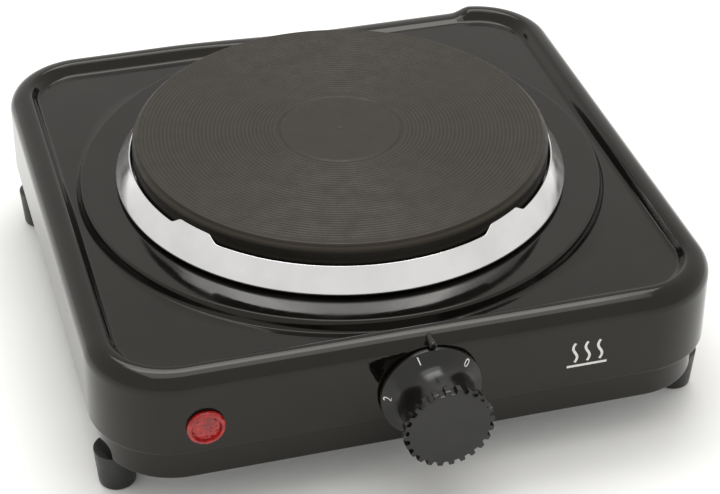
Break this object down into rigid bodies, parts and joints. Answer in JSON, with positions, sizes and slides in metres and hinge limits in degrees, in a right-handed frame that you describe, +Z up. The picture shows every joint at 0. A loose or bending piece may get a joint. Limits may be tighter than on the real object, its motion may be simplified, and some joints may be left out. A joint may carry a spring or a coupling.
{
  "type": "hot plate burner",
  "caption": "Square table-top electric hot plate with a round cast iron plate in a bright ring, a front dial and an indicator lamp.",
  "frame": {"origin": "on the table, under the middle of the whole object's outline", "axes": "+Z up, -Y towards the dial and the user, +X to the user's right"},
  "size_m": [0.225, 0.2486, 0.0766],
  "materials": {
    "enamel": "black glass enamel on pressed steel, glossy",
    "cast_iron": "ground cast iron with concentric ribs, matt brown-grey",
    "chrome": "bright pressed stainless steel",
    "steel": "zinc-plated sheet steel",
    "black_plastic": "moulded phenolic, satin",
    "red_lens": "clear red moulded lens",
    "ceramic": "unglazed steatite",
    "brass": "stamped brass",
    "rubber": "black rubber",
    "insulation": "pressed mineral fibre",
    "element": "oxidised resistance alloy",
    "wire_live": "silicone wire, brown",
    "wire_neutral": "silicone wire, blue",
    "wire_earth": "silicone wire, green"
  },
  "bodies": {
    "base": {"housing": "enamel", "hot_plate": "cast_iron", "trim_ring": "chrome", "heating_coil": "element", "insulation_disc": "insulation", "plate_cover": "steel", "terminal_block": "ceramic", "element_terminal_right": "brass", "element_terminal_left": "brass", "center_stud": "steel", "clamp_bridge": "steel", "clamp_washer": "steel", "clamp_nut": "steel", "heat_shield": "steel", "shield_nut": "steel", "thermostat_body": "ceramic", "thermostat_bracket": "steel", "thermostat_bushing": "brass", "bimetal_blade": "brass", "contact_blade": "brass", "thermostat_terminal_left": "brass", "thermostat_terminal_right": "brass", "thermostat_screw_left": "steel", "thermostat_screw_right": "steel", "dial_pointer": "black_plastic", "lamp_lens": "red_lens", "lamp_body": "ceramic", "lamp_clip": "steel", "base_cover": "steel", "foot_front_left": "black_plastic", "foot_screw_front_left": "steel", "corner_bracket_front_left": "steel", "foot_front_right": "black_plastic", "foot_screw_front_right": "steel", "corner_bracket_front_right": "steel", "foot_rear_left": "black_plastic", "foot_screw_rear_left": "steel", "corner_bracket_rear_left": "steel", "foot_rear_right": "black_plastic", "foot_screw_rear_right": "steel", "corner_bracket_rear_right": "steel", "earth_screw": "brass", "earth_nut": "brass", "mains_block": "ceramic", "wire_live_in": "wire_live", "wire_live_plate": "wire_live", "wire_neutral": "wire_neutral", "wire_lamp_live": "wire_live", "wire_lamp_neutral": "wire_neutral", "wire_earth": "wire_earth", "cord_gland": "rubber"},
    "knob": {"knob": "black_plastic", "thermostat_shaft": "steel", "knob_clip": "steel"}
  },
  "joints": [
    {"name": "knob_turn", "type": "hinge", "parent": "base", "child": "knob", "pos_m": [0.0008, -0.10175, 0.0383], "axis": [0, 1, 0], "range_deg": [-46, 214]}
  ]
}
